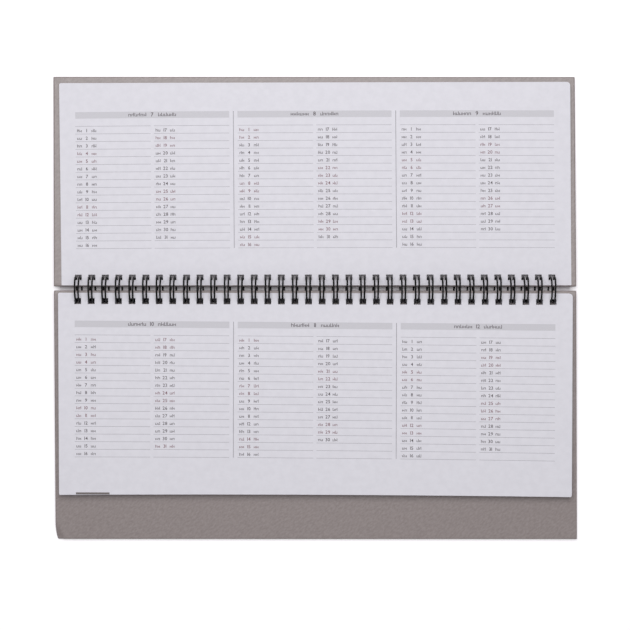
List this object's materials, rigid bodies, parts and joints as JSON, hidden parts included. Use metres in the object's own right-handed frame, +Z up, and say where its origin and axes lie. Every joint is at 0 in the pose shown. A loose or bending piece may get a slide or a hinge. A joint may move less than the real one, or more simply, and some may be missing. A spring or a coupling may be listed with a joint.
{
  "type": "wire-bound desk planner",
  "caption": "Open landscape desk planner: two hard leatherette covers, a thick leaf block and turned leaves on one black twin-loop wire, back cover longer than the leaves",
  "frame": {"origin": "centre of the footprint, on the table", "axes": "+X along the binding, +Y towards the front cover, +Z up"},
  "size_m": [0.3272, 0.2902, 0.0174],
  "materials": {
    "greyboard": "dense grey board, hidden inside the covers",
    "leatherette": "taupe fine-grained leatherette, satin",
    "lining": "taupe lining paper, matte",
    "paper": null,
    "coated_wire": "black nylon-coated steel wire, satin"
  },
  "bodies": {
    "back_cover": {"back_cover_board": "greyboard", "back_cover_wrap": "leatherette", "back_cover_lining": "lining", "wire_binding": "coated_wire"},
    "front_cover": {"front_cover_board": "greyboard", "front_cover_wrap": "leatherette", "front_cover_lining": "lining", "turned_leaves": "paper"},
    "page_block": {"page_block": "paper"}
  },
  "joints": [
    {"name": "front_cover_hinge", "type": "hinge", "parent": "back_cover", "child": "front_cover", "pos_m": [0, 0.0114, 0.00869], "axis": [1, 0, 0], "range_deg": [0, 180]},
    {"name": "page_block_hinge", "type": "hinge", "parent": "back_cover", "child": "page_block", "pos_m": [0, 0.0114, 0.00869], "axis": [-1, 0, 0], "range_deg": [0, 180]}
  ]
}
